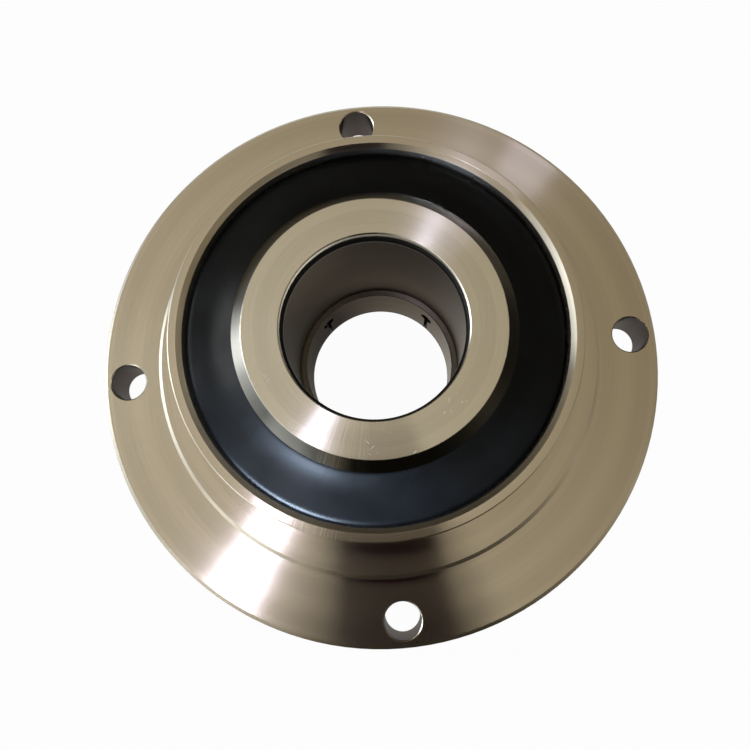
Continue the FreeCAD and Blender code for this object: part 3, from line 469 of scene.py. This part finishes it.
def coil(azimuth, circle, low, high):
    """Corners and faces of one round wire coil that stands on the circle between two heights."""
    corners, faces = [], []
    steps = int(SPRING_TURNS * STEPS_PER_TURN)
    climb = high - low - 2 * WIRE_RADIUS
    centre = Vector((math.cos(azimuth), math.sin(azimuth), 0)) * circle
    rise = climb / (FULL_TURN * SPRING_TURNS)
    for step in range(steps + 1):
        angle = FULL_TURN * SPRING_TURNS * step / steps
        outward = Vector((math.cos(azimuth + angle), math.sin(azimuth + angle), 0))
        along = Vector((-outward.y * COIL_RADIUS, outward.x * COIL_RADIUS, rise)).normalized()
        across = along.cross(outward)
        middle = centre + outward * COIL_RADIUS + Vector((0, 0, low + WIRE_RADIUS + climb * step / steps))
        for side in range(WIRE_SIDES):
            turn = FULL_TURN * side / WIRE_SIDES
            corners.append(middle + (outward * math.cos(turn) + across * math.sin(turn)) * WIRE_RADIUS)
    for step in range(steps):
        start = step * WIRE_SIDES
        for side in range(WIRE_SIDES):
            first, second = start + side, start + (side + 1) % WIRE_SIDES
            faces.append((first, second, second + WIRE_SIDES, first + WIRE_SIDES))
    faces.append(tuple(reversed(range(WIRE_SIDES))))
    faces.append(tuple(range(steps * WIRE_SIDES, (steps + 1) * WIRE_SIDES)))
    return corners, faces


def make_springs():
    """Coil springs in the place of the solid ones, attached to the gland's body."""
    low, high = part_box("springs")
    circle = high.x - COIL_RADIUS - WIRE_RADIUS
    corners, faces = [], []
    for index in range(SPRING_COUNT):
        more, rings = coil(FULL_TURN * index / SPRING_COUNT, circle, low.z, high.z)
        faces += [tuple(corner + len(corners) for corner in ring) for ring in rings]
        corners += more
    mesh = bpy.data.meshes.new("coil_springs")
    mesh.from_pydata(corners, [], faces)
    mesh.shade_smooth()
    mesh.materials.append(FINISHES["spring_wire"])
    springs = bpy.data.objects.new("coil_springs", mesh)
    bpy.context.scene.collection.objects.link(springs)
    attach(springs, "gland")
    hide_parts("springs")
    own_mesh(springs)


def glow(name, colour, strength):
    """A material that shines with one colour."""
    return Finish(name).shine(rgba([part * strength for part in colour]))


def lamp_glow(name, colour, strength):
    """A material that shines and that the renderer also samples as a lamp."""
    material = glow(name, colour, strength)
    material.cycles.emission_sampling = "AUTO"
    return material


def ceiling_glow():
    """A ceiling that is brighter on the window's side, browner away from it, with a lighter patch."""
    finish = Finish("ceiling_glow")
    reach = finish.math("ADD", finish.math("DIVIDE", finish.radius, 1.5), 1.0)
    share = finish.spread(finish.math("DIVIDE", finish.toward(*WINDOW_SIDE), reach), 0.0, 1.0, -0.60, 0.60)
    from_patch = finish.length(finish.math("SUBTRACT", finish.x, PATCH_CENTRE[0]),
                               finish.math("SUBTRACT", finish.y, PATCH_CENTRE[1]))
    patch = finish.spread(from_patch, PATCH_GAIN, 1.0, *PATCH_SPAN)
    return finish.shine(finish.tint(finish.mix(share, rgba(CEILING_RIGHT), rgba(CEILING_LEFT)), patch))


def under_glow():
    """What the bore mirrors below it: brighter to the right."""
    finish = Finish("under_glow")
    brightness = finish.spread(finish.toward(*UNDER_BRIGHT_SIDE), 0.5, 2.3, 0.0, UNDER_SPAN)
    return finish.shine(finish.tint(PALE, brightness))


def round_glow(name, *levels):
    """Brightness by azimuth, warm where it is dim and cool where it is bright, blended between levels."""
    finish = Finish(name)
    turn = finish.math("FRACT", finish.math("ADD", finish.math("DIVIDE", finish.azimuth, FULL_TURN), 1.0))
    values = []
    for level in levels:
        ramp = finish.add("ShaderNodeValToRGB", {"Fac": turn})
        stops = ramp.color_ramp.elements
        for index, (azimuth, value) in enumerate(level + [(360, level[0][1])]):
            stop = stops[index] if index < 2 else stops.new(azimuth / 360)
            stop.position = azimuth / 360
            stop.color = rgba([value / LEVEL_TOP] * 3)
        values.append(finish.math("MULTIPLY", ramp.outputs["Color"], LEVEL_TOP))
    value = values[0]
    if len(values) > 1:
        share = finish.spread(finish.height, 0.0, 1.0, *WALL_BLEND)
        value = finish.math("ADD", finish.math("MULTIPLY", values[0], finish.math("SUBTRACT", 1.0, share)),
                            finish.math("MULTIPLY", values[1], share))
    colour = finish.mix(finish.spread(value, 0.0, 1.0, 0.4, 1.1), rgba(WARM), rgba(COOL))
    return finish.shine(finish.tint(colour, value))


def sheet_object(name, corners, faces, material):
    """A mesh marked as stage."""
    mesh = bpy.data.meshes.new(name)
    mesh.from_pydata(corners, [], faces)
    mesh.materials.append(material)
    sheet = bpy.data.objects.new(name, mesh)
    bpy.context.scene.collection.objects.link(sheet)
    return sheet


def plane(name, width, depth, material):
    """A rectangle in the XY plane."""
    corners = [(x * width / 2, y * depth / 2, 0) for x, y in ((-1, -1), (1, -1), (1, 1), (-1, 1))]
    return sheet_object(name, corners, [(0, 1, 2, 3)], material)


def wedge(name, length, near_width, far_width, material):
    """A level card along X that widens from its near end at the origin."""
    ends = ((0, -near_width / 2), (length, -far_width / 2), (length, far_width / 2), (0, near_width / 2))
    return sheet_object(name, [(x, y, 0) for x, y in ends], [(0, 1, 2, 3)], material)


def ring_sheet(name, rims, material):
    """A sheet between two circles, each given as radius and height."""
    angles = [math.radians(angle) for angle in range(0, 360, 5)]
    corners = [(math.cos(angle) * radius, math.sin(angle) * radius, height)
               for radius, height in rims for angle in angles]
    count = len(angles)
    faces = [(i, (i + 1) % count, (i + 1) % count + count, i + count) for i in range(count)]
    return sheet_object(name, corners, faces, material)


def hang(sheet, azimuth, elevation, distance):
    """Place a card at that direction and distance from the part, facing it, with its width upright."""
    turn = Matrix.Rotation(math.radians(azimuth), 4, "Z")
    rise = Matrix.Rotation(math.radians(90 - elevation), 4, "Y")
    sheet.matrix_world = turn @ rise @ Matrix.Translation((0, 0, distance))


def lay(sheet, x=0.0, y=0.0, z=0.0, azimuth=0.0):
    """Place a level card, in the camera's turned frame."""
    sheet.matrix_world = (Matrix.Rotation(CAMERA_TURN, 4, "Z") @ Matrix.Translation((x, y, z))
                          @ Matrix.Rotation(math.radians(azimuth), 4, "Z"))


def shine_on(lamp, name):
    """Let a lamp light only this node, with only the node's own shadow."""
    group = bpy.data.collections.new(f"{lamp.name}_lit")
    group.objects.link(nodes[name])
    lamp.light_linking.receiver_collection = group
    lamp.light_linking.blocker_collection = group


def make_floor():
    """Pale floor that reads as white, with a painted shadow ring under the sleeve's wall where its glow is
    taken away, and clear from below.
    """
    finish = Finish("floor")
    ray = finish.add("ShaderNodeLightPath").outputs
    # No glow in a ring under the sleeve's wall, so the paper shows dark there: painted shadow
    under = finish.between(finish.radius, *SLEEVE_SHADOW_RING)
    seen = finish.math("MAXIMUM", ray["Is Camera Ray"],
                       finish.math("MAXIMUM", ray["Is Glossy Ray"], ray["Is Transmission Ray"]))
    seen = finish.math("MULTIPLY", seen, finish.math("SUBTRACT", FLOOR_GLOW, under))
    paper = finish.add("ShaderNodeBsdfDiffuse", {"Color": rgba(PAPER)})
    white = finish.add("ShaderNodeEmission")
    clear = finish.add("ShaderNodeBsdfTransparent")
    below = finish.add("ShaderNodeNewGeometry").outputs["Backfacing"]
    finish.show(finish.mix_shaders(below, finish.mix_shaders(seen, paper, white), clear))
    floor = plane("floor", width=FLOOR_SIZE, depth=FLOOR_SIZE, material=finish.material)
    floor.location.z = FOOT - FLOOR_DROP


def make_world():
    """White surroundings, dimmer for the light that they cast."""
    world = bpy.data.worlds.new("studio")
    world.use_nodes = True
    tree = world.node_tree
    back = tree.nodes["Background"]
    back.inputs["Color"].default_value = (1, 1, 1, 1)
    ray = tree.nodes.new("ShaderNodeLightPath").outputs["Is Diffuse Ray"]
    strength = tree.nodes.new("ShaderNodeMapRange")
    strength.inputs["To Min"].default_value = 1.0
    strength.inputs["To Max"].default_value = WORLD_LIGHT
    tree.links.new(ray, strength.inputs["Value"])
    tree.links.new(strength.outputs[0], back.inputs["Strength"])
    world.cycles.sampling_method = "NONE"
    bpy.context.scene.world = world


def ceiling_cards():
    """The ceiling, and below it the strip lamp, a far lamp and a spot, which draw the bright fans."""
    ceiling = plane("ceiling", width=CEILING_SIZE, depth=CEILING_SIZE, material=ceiling_glow())
    lay(ceiling, z=CEILING_HEIGHT)
    strip = wedge("strip_lamp", length=0.84, near_width=0.008, far_width=0.185,
                  material=lamp_glow("strip_glow", DAYLIGHT, 6.1))
    lay(strip, x=-0.060, y=0.135, z=LAMP_HEIGHT, azimuth=229.3)
    far_lamp = plane("far_lamp", width=0.20, depth=0.12, material=lamp_glow("far_glow", DAYLIGHT, 2.0))
    lay(far_lamp, x=0.430, y=0.610, z=LAMP_HEIGHT, azimuth=44.0)
    spot = plane("spot", width=0.14, depth=0.025, material=lamp_glow("spot_glow", DAYLIGHT, 4.6))
    lay(spot, x=0.119, y=0.371, z=LAMP_HEIGHT, azimuth=50.0)
    return [ceiling, strip, far_lamp, spot]


def shield_lamps():
    """Three lamps outside the room that light the shield alone."""
    window = plane("window", width=0.46, depth=0.76,
                   material=lamp_glow("window_glow", WINDOW_BLUE, 52.0))
    hang(window, azimuth=225.0, elevation=59.0, distance=1.4)
    low_window = plane("low_window", width=0.46, depth=0.37,
                       material=lamp_glow("low_window_glow", COOL, 70.0))
    hang(low_window, azimuth=164.0, elevation=31.0, distance=OUTSIDE)
    edge_lamp = plane("edge_lamp", width=0.92, depth=0.55,
                      material=lamp_glow("edge_glow", WINDOW_BLUE, 600.0))
    hang(edge_lamp, azimuth=232.0, elevation=22.0, distance=OUTSIDE)
    lamps = [window, low_window, edge_lamp]
    for lamp in lamps:
        shine_on(lamp, "elastomer_shield")
    return lamps


def dark_cards():
    """Two dark cards in front, which the flange mirrors as its dark sector."""
    dark = glow("dark_glow", DARK, 1.0)
    near_dark = plane("near_dark", width=0.078, depth=0.201, material=dark)
    lay(near_dark, x=-0.016, y=-0.1355, z=0.28)
    far_dark = plane("far_dark", width=0.235, depth=1.2, material=dark)
    lay(far_dark, x=-0.0415, y=-0.741, z=0.45)
    return [near_dark, far_dark]


def low_cards():
    """The wall round the room, the disc under the bore and the table round the part."""
    level = FOOT + TABLE_LIFT
    wall = ring_sheet("wall", [(ROOM_RADIUS, FOOT), (ROOM_RADIUS, WALL_TOP)],
                      round_glow("wall_glow", LOW_WALL, HIGH_WALL))
    lay(wall)
    under = ring_sheet("under_bore", [(radius, level) for radius in UNDER_RADII], under_glow())
    table = ring_sheet("table", [(TABLE_START, level), (ROOM_RADIUS, level)],
                       round_glow("table_glow", TABLE))
    lay(table)
    return [wall, under, table]


def make_cards():
    """The room that the metal mirrors, and the lamps for the shield, all hidden from the camera."""
    for card in ceiling_cards() + shield_lamps() + dark_cards() + low_cards():
        card.visible_camera = False
        card.visible_shadow = False
        card.visible_diffuse = False


def make_camera():
    """The photograph's viewpoint."""
    data = bpy.data.cameras.new("camera")
    data.lens = CAMERA_LENS_MM
    data.sensor_width = CAMERA_SENSOR_MM
    data.clip_start = CAMERA_NEAREST
    camera = bpy.data.objects.new("camera", data)
    camera.matrix_world = (Matrix.Rotation(CAMERA_TURN, 4, "Z") @ Matrix.Translation(CAMERA_PLACE)
                           @ Matrix.Rotation(CAMERA_TILT, 4, "X") @ Matrix.Rotation(CAMERA_ROLL, 4, "Z"))
    bpy.context.scene.collection.objects.link(camera)
    bpy.context.scene.camera = camera


dress_nodes()
make_springs()
make_floor()
make_world()
make_cards()
make_camera()
bpy.context.scene.view_settings.view_transform = "Standard"
